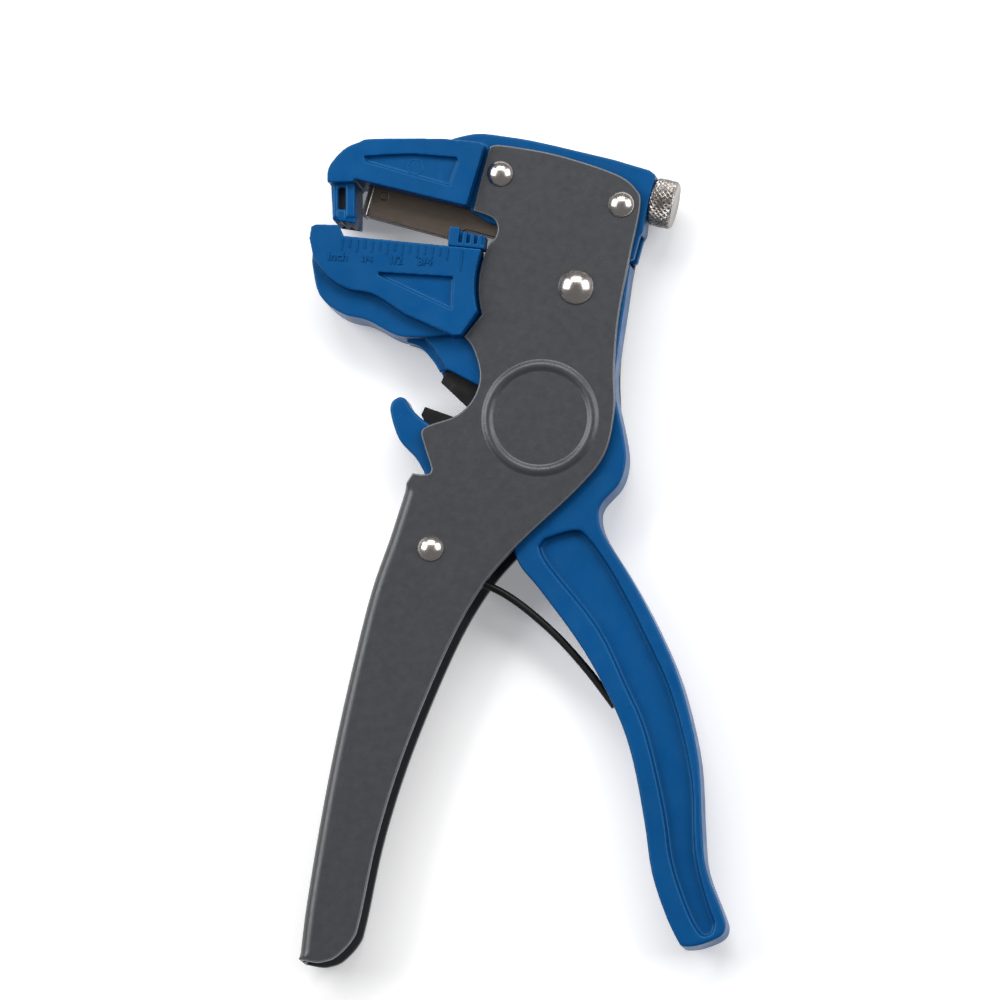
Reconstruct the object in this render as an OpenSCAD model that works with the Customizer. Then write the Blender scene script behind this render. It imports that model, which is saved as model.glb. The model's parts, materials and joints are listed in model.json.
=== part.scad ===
// Automatic duck-bill wire stripper and cutter, lying flat with its front face up.
// +Y points to the jaws, +Z up. Millimetres. The tool rests on the rear of its jaw head.

/* [Thickness] */
// Whole thickness of the jaw heads
jaw_w = 17; // [16:0.5:19]
// Distance between the inner faces of the two side plates
plate_gap = 9; // [8.6:0.2:10]
// Sheet thickness of the side plates
plate_t = 1.5; // [1.2:0.1:1.8]
// Width of the centre slot for the blade strips and draw arm
slot_w = 4.8; // [4.6:0.1:5]

/* [Fasteners] */
// Radius of the small rivet heads
rivet_head_r = 2.75; // [2.4:0.05:3]
// Radius of the small rivet shanks
rivet_r = 1.2; // [1:0.05:1.3]
// Radius of the main rivet head
main_head_r = 3.75; // [3.4:0.05:4]
// Radius of the main rivet shank
main_r = 2; // [1.8:0.05:2.1]
// Radius of the handle's pivot axle
axle_r = 4; // [3.5:0.1:5]
// Radial clearance of a running fit
fit = 0.05; // [0.03:0.01:0.08]

/* [Pressure screw] */
// Diameter of the knurled head
knob_d = 10.2; // [8:0.2:10.4]
// Length of the knurled head
knob_l = 4.8; // [4:0.2:6]
// Radius of the screw shank
screw_r = 1.5; // [1.3:0.1:1.5]

/* [Travel] */
// Degrees that the moving handle turns when squeezed
squeeze = 20; // [16:1:20]
// Degrees that the lower jaw closes
jaw_close = 6; // [5:0.5:6]

/* [Return spring] */
// Wire radius of the return spring
wire_r = 0.8; // [0.6:0.05:0.9]

/* [Hidden] */
$fn = 64;
mid_z = jaw_w / 2;              // height of the mid-plane above the rest face
jaw_h = jaw_w / 2;              // half widths, measured from the mid-plane
bulge_h = 6;
clamp_h = 6;
rib_h = 0.4;
in_h = plate_gap / 2;
out_h = in_h + plate_t;
core_h = in_h - 0.3;
slot_h = slot_w / 2;
strip_h = slot_h - 0.2;
lap = 0.15;                     // gap between parts that lap in the slot
cutter_t = 1.8;
cutter_gap = 0.1;               // each cutter's distance from the mid-plane
pocket_d = 1.2;                 // depth of the jaws' triangular pockets
spine_gap = 0.05;               // half of the joint where the two flanges meet
ring_w = 0.9;                   // half width of the stamped ring
ring_proud = 0.45;
rivet_head_h = 1.5;
main_head_h = 2;
small_pin_r = 1;
draw_pin_r = 1.25;
through = 20;                   // long enough to cut through the whole tool
seat_shift = [0.59, -0.8, 0];   // from the drawing's origin to the middle of the tool

jaw_rivet_at = [[-2.9, 78.8], [22.5, 71.8]];
main_at = [13, 54.6];           // lower jaw's pivot
spring_at = [-17.5, 0.1];       // return spring's rivet
axle_at = [5.5, 27.1];          // moving handle's pivot
draw_at = [14.9, 65.6];         // draw pin
knob_at = [30.85, 72.75];
knob_tilt = 13.5;
strip_at = [-31.4, 74.7];       // front end of the upper strip's centre line
pull_tilt = 16;
low_tilt = 6.6;
ring_r = 11.1;
notch_r = 20.5;                 // plate notch about the lower jaw's pivot

// Points of a smooth curve through the given points, n steps to a span
function clampi(i, p) = max(0, min(len(p) - 1, i));
function blend(a, b, c, d, t) =
    0.5 * (2 * b + (c - a) * t + (2 * a - 5 * b + 4 * c - d) * t * t + (3 * b - a - 3 * c + d) * t * t * t);
function curve(p, n = 4) = concat(
    [for (i = [0 : len(p) - 2], k = [0 : n - 1])
        blend(p[clampi(i - 1, p)], p[i], p[i + 1], p[clampi(i + 2, p)], k / n)],
    [p[len(p) - 1]]);
function arc(c, r, a0, a1, n = 8) =
    [for (k = [0 : n]) let (a = a0 + (a1 - a0) * k / n) c + r * [cos(a), sin(a)]];

// Puts the origin at the middle of the whole tool
module seat() { translate(seat_shift) children(); }
// A flat shape made solid between two heights from the mid-plane
module layer(from, to) {
    translate([0, 0, mid_z + from]) linear_extrude(to - from) children();
}
module both_sides(from, to) {
    layer(from, to) children();
    layer(-to, -from) children();
}
module hole(at, r, from = -through, to = through) {
    translate([at[0], at[1], mid_z + from]) cylinder(r = r, h = to - from);
}
module dot(at, r) { translate(at) circle(r = r); }
// Frames: x along the pull or the screw axis, y up from it
module pull_frame() { translate(strip_at) rotate(-pull_tilt) children(); }
function low_at(u, v) = main_at + [u * cos(low_tilt) + v * sin(low_tilt), v * cos(low_tilt) - u * sin(low_tilt)];
module low_frame() { translate(main_at) rotate(-low_tilt) children(); }
module screw_frame() { translate([knob_at[0], knob_at[1], mid_z]) rotate([0, -90, -knob_tilt]) children(); }
module screw_flat() { translate(knob_at) rotate(-knob_tilt) mirror([1, 0]) children(); }

// ---- side plates -------------------------------------------------------
left_edge = curve([[-45.1, -85.5], [-43.7, -74], [-40.3, -53.7], [-36.2, -33.4],
                   [-30.6, -10.1], [-26.2, 2.8], [-22.6, 14]]);
plate_edge = concat(
    curve([[-5.1, 84.6], [-2.3, 84.8], [8.9, 82.6], [21.1, 78.4], [25.6, 75], [26.5, 71.3],
           [24.2, 60.2], [21.9, 48], [21, 37.3], [21, 28.2], [18.9, 19.2], [13, 11.9], [0.5, 0.3],
           [-6.8, -8.1], [-13.8, -20.3], [-22.6, -41.1], [-28.5, -59.5], [-32.3, -77],
           [-33.9, -81.5], [-37.4, -85.1], [-40.3, -86.1]]),
    left_edge,
    curve([[-21.3, 16], [-19, 15.7], [-17.4, 16.6], [-18.7, 21.1], [-19.5, 24.6], [-17.7, 26.1],
           [-12.1, 28], [-8.5, 31.7], [-7.2, 36.5], [-8.6, 41.9], [-10.5, 44.6]]),
    arc(main_at, notch_r, 195.5, 154),
    curve([[-3.7, 66], [-3.5, 67.6], [-4.6, 69.5], [-8.6, 71.1]]),
    [[-7.4, 76.1]]);

// One side plate, drawn at the front; the spine flange is folded toward the mid-plane
module plate() {
    difference() {
        union() {
            layer(in_h, out_h) polygon(plate_edge);
            layer(spine_gap, in_h) polygon(concat(left_edge,
                [for (i = [len(left_edge) - 1 : -1 : 0]) left_edge[i] + [plate_t, 0]]));
            translate([axle_at[0], axle_at[1], mid_z + out_h]) rotate_extrude($fn = 96)
                translate([ring_r, 0]) intersection() { circle(r = ring_w); translate([-1, 0]) square([2, ring_proud]); }
        }
        for (p = jaw_rivet_at) hole(p, rivet_r + fit);
        hole(main_at, main_r + fit);
        hole(spring_at, rivet_r + fit);
    }
}
module front_plate() { color([0.33, 0.33, 0.35]) seat() plate(); }
module rear_plate() {
    color([0.3, 0.3, 0.32]) seat() translate([0, 0, 2 * mid_z]) mirror([0, 0, 1]) plate();
}

// ---- rivets and axle ---------------------------------------------------
module dome(r, h) {
    ball = (r * r + h * h) / (2 * h);
    intersection() {
        translate([0, 0, h - ball]) sphere(r = ball);
        cylinder(r = r, h = h);
    }
}
module rivet(at, r, head_r, head_h) {
    translate([at[0], at[1], mid_z]) {
        translate([0, 0, -out_h - 0.01]) cylinder(r = r, h = 2 * out_h + 0.02);
        for (m = [0, 1]) mirror([0, 0, m]) translate([0, 0, out_h]) dome(head_r, head_h);
    }
}
module jaw_rivets() { color([0.8, 0.8, 0.8]) seat() for (p = jaw_rivet_at) rivet(p, rivet_r, rivet_head_r, rivet_head_h); }
module main_rivet() { color([0.8, 0.8, 0.8]) seat() rivet(main_at, main_r, main_head_r, main_head_h); }
module spring_rivet() { color([0.8, 0.8, 0.8]) seat() rivet(spring_at, rivet_r, rivet_head_r, rivet_head_h); }
module pivot_axle() { color([0.6, 0.6, 0.62]) seat() hole(axle_at, axle_r, -in_h, in_h); }
module spring_sleeve() {
    color([0.6, 0.6, 0.62]) seat() difference() {
        hole(spring_at, 2.4, -in_h, in_h);
        hole(spring_at, rivet_r + fit);
    }
}

// ---- upper jaw, fixed between the plates -------------------------------
upper_face = concat(
    curve([[-38.5, 76.6], [-38.2, 79.9], [-35.1, 83.5], [-31.9, 85], [-28.6, 85.7], [-14.1, 85.4]]),
    [[-6.4, 84.5], [-5.5, 83.9], [-9.3, 71.2], [-10.2, 71.3], [-33, 77.3], [-33, 76.6]]);
face_shift = [-0.5, 0.7];
upper_pocket = [[-30.9, 82], [-21.2, 82.3], [-11.3, 81.3], [-10.9, 80.6], [-12.7, 75.5], [-13.7, 75.7],
                [-30.3, 80.8]];
upper_core = concat(
    curve([[-14.5, 86], [-12.5, 86.9], [-7.7, 87.7], [-2.1, 87], [5.2, 85.6], [20.8, 81.6]]),
    [[28.3, 79.2], [29.5, 78.2], [28.6, 74.4], [27.2, 68.7], [26.9, 66.3], [26.2, 65.2], [24.9, 60.5],
     [24.1, 60.3], [17.6, 62.1], [8, 64], [-5.6, 68.8], [-9.3, 71.2]]);
tang_h = 4.6;                   // half width of the upper grip pad's tang
pad_h = 5;                      // half width of the upper grip pad
pad_edge = [[-37.9, 70.6], [-37.9, 69.7], [-37.1, 69.95], [-36.3, 69.4], [-35.5, 69.65], [-34.7, 69.1],
            [-34.1, 69.3], [-33.8, 69], [-33.8, 70.6]];
module tang_2d() { translate([-37.5, 70]) square([2.5, 7]); }
module clamp_block() { polygon([[-38.6, 77.5], [-38.2, 69.7], [-33.4, 68.9], [-33.4, 77.5]]); }
module strip_slot() {
    pull_frame() {
        translate([-0.6, -14]) square([90, 17.8]);
        translate([40, -14]) square([50, 21.3]);
    }
}
module shoe_2d(gap = 0) {
    screw_flat() translate([shoe_from - gap, -10.6 - gap]) square([4.6 + 2 * gap, 12.6 + 2 * gap]);
}
module upper_jaw() {
    color([0.06, 0.36, 0.62]) seat() difference() {
        union() {
            layer(-jaw_h, jaw_h) translate(face_shift) polygon(upper_face);
            layer(-clamp_h, clamp_h) clamp_block();
            layer(-core_h, core_h) polygon(upper_core);
            for (x = [-38, -35.35, -34.25]) both_sides(clamp_h, clamp_h + rib_h)
                translate([x, 70.2]) square([0.7, 6.7]);
        }
        layer(-slot_h, slot_h) strip_slot();
        both_sides(jaw_h - pocket_d, jaw_h + 1) translate(face_shift) polygon(upper_pocket);
        layer(-slot_h, slot_h) draw_sweep();
        // screw, nut, spring and shoe chambers
        screw_frame() translate([0, 0, -8]) cylinder(r = screw_r + 0.3, h = 30);
        screw_frame() translate([0, 0, 1]) cylinder(r = 2.6, h = 5.2);
        layer(-2.8, 2.8) screw_flat() translate([9.4, -2.8]) square([14, 5.6]);
        layer(-2.3, 2.3) shoe_2d(0.15);
        layer(-tang_h, tang_h) tang_2d();
        layer(-pad_h, pad_h) polygon([[-37.9, 70.6], [-37.9, 68], [-33.8, 68], [-33.8, 70.6]]);
        both_sides(tang_h - 0.1, clamp_h + rib_h + 1) translate([-36.95, 71.9]) square([1.4, 4.6]);
        for (p = jaw_rivet_at) hole(p, rivet_r + fit);
    }
}
// Room for the draw pin's own path through the jaw's tail
module draw_sweep() {
    for (a = [0 : 3 : 27]) translate(axle_at) rotate(-a) dot(draw_at - axle_at, 1.6);
}
module upper_grip_pad() {
    color([0.1, 0.1, 0.11]) seat() {
        layer(-pad_h, pad_h) polygon(pad_edge);
        layer(-tang_h, tang_h) tang_2d();
    }
}
module screw_bush() {
    color([0.8, 0.65, 0.3]) seat() screw_frame() difference() {
        translate([0, 0, 2.6]) cylinder(r = 2.6, h = 3.5);
        cylinder(r = screw_r + fit, h = 10);
    }
}
module pressure_shoe() {
    color([0.5, 0.5, 0.52]) seat() difference() {
        layer(-2.2, 2.2) shoe_2d();
        screw_frame() translate([0, 0, 15]) cylinder(r = screw_r + 0.3, h = 10);
    }
}

// ---- moving handle -----------------------------------------------------
handle_right = curve([[20.9, 37], [21.2, 31], [22.8, 23.1], [23.2, 18], [21.8, 13.3], [18.3, 9.4],
    [17.5, 6.6], [18.7, 2.4], [23.6, -5.6], [28.4, -14.3], [33.3, -25.1], [36.2, -34.5],
    [38.4, -45.7], [39.1, -60], [39.9, -67.8], [43.2, -76.7], [43.9, -79.6], [42.7, -81.8],
    [38.4, -83.5], [35.3, -83.8]]);
handle_inner = curve([[34.4, -83.5], [31.6, -77.8], [28.5, -68.4], [26.9, -57.4], [24.5, -44.7],
    [21.2, -34.8], [14.2, -21.4], [5.2, -8.8], [1, -3.6], [-2, 3], [-7, 9], [-14, 12.2]]);
hook = concat([[-18.4, 13.8]],
    curve([[-19.2, 16.5], [-21.1, 19.7], [-24.4, 23.4], [-26.2, 28.8], [-26, 31.3], [-24.3, 32.5]]),
    curve([[-23, 32], [-21.7, 29.7], [-18.1, 26.6], [-13, 24.6], [-4, 28]]));
pocket = concat(
    curve([[6, 1.9], [12.1, 3.6], [15.1, 2.2], [20.8, -6.1], [27.4, -19], [32.8, -31.5], [36.8, -48.3],
        [37.5, -64], [39.7, -73.6], [41.6, -79]]),
    curve([[41, -81.1], [38.6, -81.2], [35.7, -76], [32.4, -65.9], [30.8, -55], [27.1, -39], [22.9, -29],
        [17, -16.7], [6.9, -3.7], [4.9, 0.4]]));
// The arm beside the main pivot that carries the draw pin
arm_side = [[16, 32], [20.9, 36.6], [21.9, 44], [23, 51], [24.2, 59.5], [22.4, 59.8], [20.2, 50], [18.6, 40]];
arm_low = [[14, 33], [20.9, 36.5], [21.2, 45], [21.9, 51], [21.4, 58], [18.2, 58], [18.2, 47], [12, 36]];
arm_top = concat([[21.4, 56], [21, 63]], arc(draw_at, 2.9, 60, 215), [[18.2, 60], [18.2, 56]]);
cutter_low = [[-19.5, 30.8], [-20.3, 29.1], [-17, 22.5], [-9.5, 21.6], [-8, 26.6], [-12.2, 28.1]];
cutter_low_pin_at = [-12.8, 24.8];
spring_groove = curve([[3.5, -2], [8, -8.4], [17.2, -22.5], [24.2, -35.5], [27.6, -46], [29.6, -58],
    [31.2, -68.4], [34, -77.8]]);
module moving_handle() {
    color([0.06, 0.36, 0.62]) seat() difference() {
        union() {
            layer(-core_h, core_h) {
                polygon(concat(handle_right, handle_inner, hook));
                dot(axle_at, 10);
            }
            layer(-core_h, core_h) polygon(arm_side);
            layer(-strip_h, strip_h) polygon(arm_low);
            layer(lap, strip_h) polygon(arm_top);
        }
        both_sides(core_h - 2, core_h + 1) polygon(pocket);
        layer(-wire_r - 0.4, wire_r + 0.4) polygon(concat(spring_groove,
            [[30, -82], [20, -60], [10, -30], [-4, -10]]));
        layer(-cutter_gap - cutter_t, -cutter_gap) polygon(cutter_low);
        hole(cutter_low_pin_at, small_pin_r, -through, -cutter_gap);
        hole(draw_at, draw_pin_r);
        hole(axle_at, axle_r + fit);
    }
}
module lower_cutter() {
    color([0.08, 0.08, 0.09]) seat() difference() {
        layer(-cutter_gap - cutter_t, -cutter_gap) polygon(cutter_low);
        hole(cutter_low_pin_at, small_pin_r);
    }
}
module lower_cutter_pin() { color([0.6, 0.6, 0.62]) seat() hole(cutter_low_pin_at, small_pin_r, -core_h, -cutter_gap); }
module draw_pin() { color([0.7, 0.7, 0.72]) seat() hole(draw_at, draw_pin_r, -strip_h, strip_h); }

// ---- lower jaw, swings on the main rivet -------------------------------
head_r = notch_r + 0.6;
low_top = 5.7;                  // top edge of the lower jaw above its pivot
lower_face = concat(
    [[-42.8, 65.6], [-42.4, 68], [-41.5, 68.5], [-36.6, 68.3], low_at(-49.6, low_top), low_at(-20.4, low_top)],
    arc(main_at, head_r, 158, 194),
    [[-10.9, 44.6], [-12.5, 44.5], [-22.5, 49.1]],
    curve([[-24.4, 50.4], [-29.4, 53.6], [-34.7, 54.8], [-39.1, 57.7], [-42, 61.7]]));
lower_bulge = concat([[-42.3, 65.2], [-30, 62], [-12, 60], [-11, 45]],
    curve([[-20.2, 44.6], [-24.7, 45.1], [-30.9, 48.4], [-36.2, 49.9], [-41, 54], [-42.6, 61]]));
lower_pocket = [[-28.5, 58.1], [-12.5, 56.8], [-12.7, 49.9], [-28.2, 57.5]];
lower_core = concat([[-12, 61.5], [-7, 61.6], [4, 59.4], [10, 58.8]],
    arc(main_at, 5, 110, -60),
    curve([[6, 49.4], [-0.5, 45], [-3.4, 39.5], [-3.6, 35], [-8.6, 30.6]]),
    [[-13.9, 37.2], [-17.2, 42.5], [-20.8, 46.7], [-22.9, 48.8], [-20, 54]]);
neck_rib = [[-22.9, 48], [-23, 43.9], [-20.4, 40.4], [-16.7, 36.6], [-14, 34.6], [-10, 40]];
cutter_up = [[-15.9, 35.6], [-9.8, 29.7], [-4.6, 33.4], [-4.2, 37.4], [-9.6, 39.6], [-14.6, 38.2]];
cutter_up_pin_at = [-6, 35.8];
// The neck's front is open below this line, where the cutter shows
cutter_window = [[-17.5, 37.4], [-14.2, 38], [-7.4, 34.3], [-3, 31.9], [-3, 27], [-17.5, 27]];
// Room beside the neck for the hook's tip as the handle is squeezed
hook_room = concat(curve([[-23.6, 44.2], [-20.2, 43], [-16.9, 39.2], [-15.2, 35.4]]), [[-24, 33]]);
module low_slot() { low_frame() translate([-50, main_r + 0.1]) square([90, 20]); }
module lower_jaw() {
    color([0.06, 0.36, 0.62]) seat() difference() {
        union() {
            layer(-jaw_h, jaw_h) polygon(lower_face);
            layer(-bulge_h, bulge_h) polygon(lower_bulge);
            layer(-core_h, core_h) polygon(lower_core);
            layer(-2.6, 2.6) polygon(neck_rib);
        }
        layer(-slot_h, slot_h) low_slot();
        // clearance for the upper clamp block and for the lower grip pad
        layer(-clamp_h - rib_h - 0.4, clamp_h + rib_h + 0.4)
            polygon([[-43, 63.6], [-32.4, 62.3], [-32.4, 70], [-43, 70]]);
        layer(-clamp_h, clamp_h) pad_2d();
        both_sides(jaw_h - pocket_d, jaw_h + 1) polygon(lower_pocket);
        // groove for the length stop's tongue
        layer(4.9, 6.7) low_frame() translate([-46, low_top - 1.6]) square([26, 6]);
        // room for the lower cutter and for the tip of the hook when the handle is squeezed
        layer(-0.3 - cutter_t, 0.1) polygon([[-24, 30], [-6, 28], [-7, 38], [-14, 44], [-24, 44]]);
        layer(-core_h, core_h) polygon(hook_room);
        layer(cutter_gap, cutter_gap + cutter_t) polygon(cutter_up);
        layer(cutter_gap, core_h + 1) polygon(cutter_window);
        hole(cutter_up_pin_at, small_pin_r, cutter_gap);
        hole(main_at, main_r + fit);
    }
}
module pad_2d() {
    polygon([[-42, 63.6], [-41.9, 61.9], [-32.4, 60.6], [-32.4, 62], [-33.6, 62.9], [-34.6, 62.2],
             [-35.6, 63.1], [-36.6, 62.4], [-37.6, 63.3], [-38.6, 62.6], [-39.6, 63.5], [-40.6, 62.9]]);
}
module lower_grip_pad() {
    color([0.45, 0.45, 0.47]) seat() difference() {
        layer(-clamp_h, clamp_h) pad_2d();
        layer(-slot_h, slot_h) low_slot();
    }
}
module upper_cutter() {
    color([0.08, 0.08, 0.09]) seat() difference() {
        layer(cutter_gap, cutter_gap + cutter_t) polygon(cutter_up);
        hole(cutter_up_pin_at, small_pin_r);
    }
}
module upper_cutter_pin() { color([0.6, 0.6, 0.62]) seat() hole(cutter_up_pin_at, small_pin_r, cutter_gap, core_h); }

// ---- blade strips ------------------------------------------------------
pin_u = 47;                     // draw pin's place along the upper strip
module upper_blade_strip() {
    color([0.3, 0.27, 0.24]) seat() difference() {
        union() {
            layer(-strip_h, strip_h) pull_frame()
                polygon([[0.9, -3.5], [19, -3.5], [22, -1], [pin_u - 12.5, -1], [pin_u - 12.5, -3.9],
                         [pin_u - 10.5, -3.9], [pin_u - 10.5, -1], [pin_u - 3.4, -1], [pin_u - 3.4, 3.5],
                         [0.9, 3.5]]);
            layer(-strip_h, -lap) pull_frame()
                polygon([[pin_u - 4, -1], [pin_u + 3.6, -1], [pin_u + 3.6, 6.8], [pin_u - 3, 6.8],
                         [pin_u - 4, 3.5]]);
        }
        // cross slot that the draw pin runs in
        layer(-slot_h, 0) pull_frame() translate([pin_u - 1.5, 0]) square([3, 5.6]);
        hole(blade_pin(3.4, 1.4), 0.8);
    }
}
function blade_pin(u, v) = strip_at + [u * cos(pull_tilt) + v * sin(pull_tilt),
                                       v * cos(pull_tilt) - u * sin(pull_tilt)];
module upper_stripping_blade() {
    color([0.75, 0.75, 0.77]) seat() layer(-strip_h, strip_h) pull_frame()
        polygon([[-0.3, 3.4], [-0.3, -3.3], [0.3, -4], [0.88, -3.5], [0.88, 3.4]]);
}
module upper_blade_pin() { color([0.6, 0.6, 0.62]) seat() hole(blade_pin(3.4, 1.4), 0.8, -strip_h, strip_h); }
low_lo = main_r + 0.3;          // lower strip's edges above the main rivet
low_hi = 4;
tab_hi = 5.6;
finger_u = -12;                 // where the upper strip's finger drops into the lower strip
module lower_blade_strip() {
    color([0.3, 0.27, 0.24]) seat() difference() {
        layer(-strip_h, strip_h) low_frame()
            polygon([[-46.1, low_lo], [finger_u + 4, low_lo], [finger_u + 4, tab_hi],
                     [finger_u - 4, tab_hi], [finger_u - 6, low_hi], [-46.1, low_hi]]);
        layer(-slot_h, slot_h) low_frame() translate([finger_u - 1.7, low_lo + 0.6]) square([3.6, 6]);
        low_pin_hole();
    }
}
module low_pin_hole() { layer(-strip_h, strip_h) low_frame() dot([-44.4, 3.1], 0.5); }
module lower_stripping_blade() {
    color([0.75, 0.75, 0.77]) seat() layer(-strip_h, strip_h) low_frame()
        polygon([[-47.3, low_lo], [-46.12, low_lo], [-46.12, 4.2], [-46.7, 4.9], [-47.3, 4.3]]);
}
module lower_blade_pin() { color([0.6, 0.6, 0.62]) seat() low_pin_hole(); }

// ---- length stop -------------------------------------------------------
stop_u = [-27.5, -19.95];        // ends of the slider along the lower jaw
stop_h = 4;                     // height of its grip above the jaw's edge
module length_stop() {
    long = stop_u[1] - stop_u[0];
    color([0.06, 0.36, 0.62]) seat() {
        layer(3, jaw_h - 1.4) low_frame() translate([stop_u[0], low_top + 0.08])
            polygon([[0, 0], [long, 0], [long, stop_h - 1.2], [2, stop_h - 0.5], [0, stop_h]]);
        layer(3, jaw_h - 0.1) low_frame() translate([stop_u[0], low_top + 0.08]) {
            square([long, 0.8]);
            square([2.1, stop_h]);
            for (u = [2.9 : 1.6 : 6.2]) translate([u, 0]) square([0.9, stop_h - 0.6 - 0.1 * u]);
        }
        layer(5, 6.6) low_frame() translate([stop_u[0], low_top - 1.5]) square([6, 2]);
    }
}

// ---- pressure screw ----------------------------------------------------
module pressure_screw() {
    color([0.78, 0.78, 0.8]) seat() screw_frame() {
        translate([0, 0, -knob_l / 2]) cylinder(d = knob_d, h = knob_l);
        cylinder(r = screw_r, h = 20.5);
    }
}
nut_from = 10.8;                // travels 1 mm each way in its chamber
nut_l = 3;
nut_h = 2.6;
shoe_from = 21.8;
module pressure_nut() {
    color([0.75, 0.62, 0.3]) seat() difference() {
        layer(-nut_h, nut_h) screw_flat() translate([nut_from, -nut_h]) square([nut_l, 2 * nut_h]);
        screw_frame() cylinder(r = screw_r + fit, h = 30);
    }
}
module pressure_spring() {
    color([0.7, 0.7, 0.7]) seat() screw_frame() translate([0, 0, nut_from + nut_l]) difference() {
        cylinder(r = 2.3, h = shoe_from - nut_from - nut_l - 0.2);
        translate([0, 0, -1]) cylinder(r = 1.75, h = 11);
    }
}

// ---- return spring -----------------------------------------------------
coil_r = 3.4;
coil_h = 4;
leg = curve([[-14.6, -2.4], [-3.6, -7.9], [6.1, -15.9], [14, -24.4], [20.2, -32.6]]);
// One side of the leg, shifted from its centre line by d
function leg_side(d) = [for (i = [0 : len(leg) - 1])
    let (a = leg[clampi(i - 1, leg)], b = leg[clampi(i + 1, leg)], n = (b - a) / norm(b - a))
    leg[i] + d * [-n[1], n[0]]];
module return_spring() {
    left = leg_side(wire_r);
    color([0.07, 0.07, 0.08]) seat() {
        difference() {
            hole(spring_at, coil_r + wire_r, -coil_h, coil_h);
            hole(spring_at, coil_r - wire_r);
        }
        layer(-wire_r, wire_r)
            polygon(concat(leg_side(-wire_r), [for (i = [len(left) - 1 : -1 : 0]) left[i]]));
        layer(-3.8, -2.2) polygon([[-18, 2.8], [-17.5, 4], [-23, 5.2], [-23, 3.8]]);
    }
}

front_plate();
rear_plate();
upper_jaw();
upper_grip_pad();
jaw_rivets();
main_rivet();
spring_rivet();
pivot_axle();
spring_sleeve();
screw_bush();
pressure_shoe();
moving_handle();
lower_cutter();
lower_cutter_pin();
draw_pin();
lower_jaw();
lower_grip_pad();
upper_cutter();
upper_cutter_pin();
upper_blade_strip();
upper_stripping_blade();
upper_blade_pin();
lower_blade_strip();
lower_stripping_blade();
lower_blade_pin();
length_stop();
pressure_screw();
pressure_nut();
pressure_spring();
return_spring();
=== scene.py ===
"""Looks of the wire stripper: camera, materials, refined pieces, lights. Metres, in the frame's own axes."""

import bpy
import bmesh
import json
import math
from mathutils import Matrix, Vector
from mathutils.geometry import tessellate_polygon


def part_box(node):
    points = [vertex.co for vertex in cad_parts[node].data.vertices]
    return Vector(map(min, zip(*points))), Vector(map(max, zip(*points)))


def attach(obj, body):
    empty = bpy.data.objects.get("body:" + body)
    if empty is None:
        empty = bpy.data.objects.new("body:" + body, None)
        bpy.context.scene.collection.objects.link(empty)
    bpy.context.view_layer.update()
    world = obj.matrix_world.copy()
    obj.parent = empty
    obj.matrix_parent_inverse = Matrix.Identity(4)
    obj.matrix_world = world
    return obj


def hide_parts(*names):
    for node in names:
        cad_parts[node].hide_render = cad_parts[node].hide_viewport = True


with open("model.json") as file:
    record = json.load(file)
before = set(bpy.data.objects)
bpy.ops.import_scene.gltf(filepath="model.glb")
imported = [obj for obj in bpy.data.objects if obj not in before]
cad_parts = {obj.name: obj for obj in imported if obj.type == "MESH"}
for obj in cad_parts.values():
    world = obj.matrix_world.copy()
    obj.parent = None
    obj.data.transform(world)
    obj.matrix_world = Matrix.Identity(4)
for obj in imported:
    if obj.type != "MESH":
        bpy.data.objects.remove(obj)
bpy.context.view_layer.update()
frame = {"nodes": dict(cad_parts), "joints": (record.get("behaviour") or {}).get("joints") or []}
MM = 0.001
JOINTS = {j["name"]: j for j in frame["joints"]}


# ---- places taken from the frame ----------------------------------------
def pivot(joint):
    return Vector(JOINTS[joint]["pos_m"])


def along(joint):
    return Vector(JOINTS[joint]["axis"]).normalized()


MAIN = pivot("jaw_close")
AXLE = pivot("handle_squeeze")
COIL = pivot("spring_swing")
KNOB = pivot("screw_turn")
MID_Z = MAIN.z
RING_PROUD = 0.45 * MM                     # the stamped ring stands this far off the plate
PLATE_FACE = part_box("front_plate")[1].z - RING_PROUD
JAW_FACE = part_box("lower_jaw")[1].z
PULL = along("lower_blade_pull")           # along the lower jaw, to the right
LIFT = Vector((-PULL.y, PULL.x, 0))        # square to it, up


def on_jaw(u, v, z=JAW_FACE):
    """A point on the lower jaw, u mm along it and v mm up from its pivot."""
    p = MAIN + PULL * u * MM + LIFT * v * MM
    return Vector((p.x, p.y, z))


# ---- materials ------------------------------------------------------------
def graph(name):
    mat = bpy.data.materials.new(name)
    mat.use_nodes = True
    tree = mat.node_tree
    shader = tree.nodes["Principled BSDF"]
    coords = tree.nodes.new("ShaderNodeTexCoord")
    return mat, tree, shader, coords.outputs["Object"]


def noise(tree, coords, scale, detail=3.0, roughness=0.5, stretch=None, turn=0.0):
    node = tree.nodes.new("ShaderNodeTexNoise")
    node.inputs["Scale"].default_value = scale
    node.inputs["Detail"].default_value = detail
    node.inputs["Roughness"].default_value = roughness
    if stretch:
        mapping = tree.nodes.new("ShaderNodeMapping")
        mapping.inputs["Scale"].default_value = stretch
        mapping.inputs["Rotation"].default_value = (0, 0, turn)
        tree.links.new(coords, mapping.inputs["Vector"])
        coords = mapping.outputs["Vector"]
    tree.links.new(coords, node.inputs["Vector"])
    return node.outputs["Fac"]


def spread(tree, value, low, high, start=0.3, end=0.7):
    node = tree.nodes.new("ShaderNodeMapRange")
    node.inputs["From Min"].default_value = start
    node.inputs["From Max"].default_value = end
    node.inputs["To Min"].default_value = low
    node.inputs["To Max"].default_value = high
    tree.links.new(value, node.inputs["Value"])
    return node.outputs["Result"]


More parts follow.
